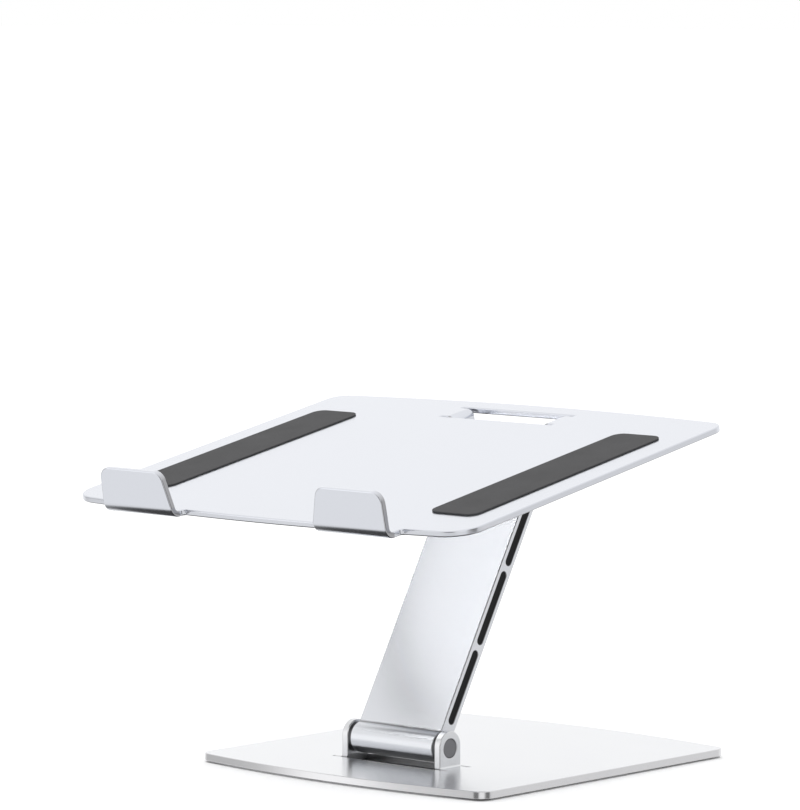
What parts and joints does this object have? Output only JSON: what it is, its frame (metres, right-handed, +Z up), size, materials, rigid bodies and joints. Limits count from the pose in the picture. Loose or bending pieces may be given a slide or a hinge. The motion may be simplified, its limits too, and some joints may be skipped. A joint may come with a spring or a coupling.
{
  "type": "folding laptop stand",
  "caption": "Folding stand in satin aluminium: a flat base plate, one broad leaning arm on friction hinges and a tilted tray with upturned hooks along its front edge.",
  "frame": {"origin": "on the table plane, under the middle of the whole stand as it is used", "axes": "+Z up, +Y from the hooks at the front towards the back, +X to the right seen from the front"},
  "size_m": [0.269, 0.2785, 0.1825],
  "materials": {
    "aluminium_sheet": "satin anodised",
    "aluminium_extrusion": "satin anodised",
    "steel_pin": "turned end",
    "steel_washer": "blackened, satin",
    "spring_steel": "satin",
    "black_plug": "matt",
    "rubber_foot": "matt",
    "rubber_pad": "matt"
  },
  "bodies": {
    "base": {"base_plate": "aluminium_sheet", "foot_front_left": "rubber_foot", "foot_front_right": "rubber_foot", "foot_back_left": "rubber_foot", "foot_back_right": "rubber_foot", "lower_pin": "steel_pin", "lower_washer_left": "steel_washer", "lower_washer_right": "steel_washer"},
    "arm": {"arm": "aluminium_extrusion", "chamber_plug_left_low": "black_plug", "chamber_plug_left_middle": "black_plug", "chamber_plug_left_high": "black_plug", "chamber_plug_right_low": "black_plug", "chamber_plug_right_middle": "black_plug", "chamber_plug_right_high": "black_plug", "lower_friction_sleeve_left": "spring_steel", "lower_friction_sleeve_right": "spring_steel", "upper_friction_sleeve_left": "spring_steel", "upper_friction_sleeve_right": "spring_steel"},
    "tray": {"tray_plate": "aluminium_sheet", "upper_pin": "steel_pin", "upper_washer_left": "steel_washer", "upper_washer_right": "steel_washer", "tray_pad_left": "rubber_pad", "tray_pad_right": "rubber_pad", "hook_pad_left": "rubber_pad", "hook_pad_right": "rubber_pad"}
  },
  "joints": [
    {"name": "arm_hinge", "type": "hinge", "parent": "base", "child": "arm", "pos_m": [0, -0.0165, 0.0149], "axis": [1, 0, 0], "range_deg": [-60, 10]},
    {"name": "tray_hinge", "type": "hinge", "parent": "arm", "child": "tray", "pos_m": [0, 0.06972, 0.16546], "axis": [-1, 0, 0], "range_deg": [-38, 10]}
  ]
}
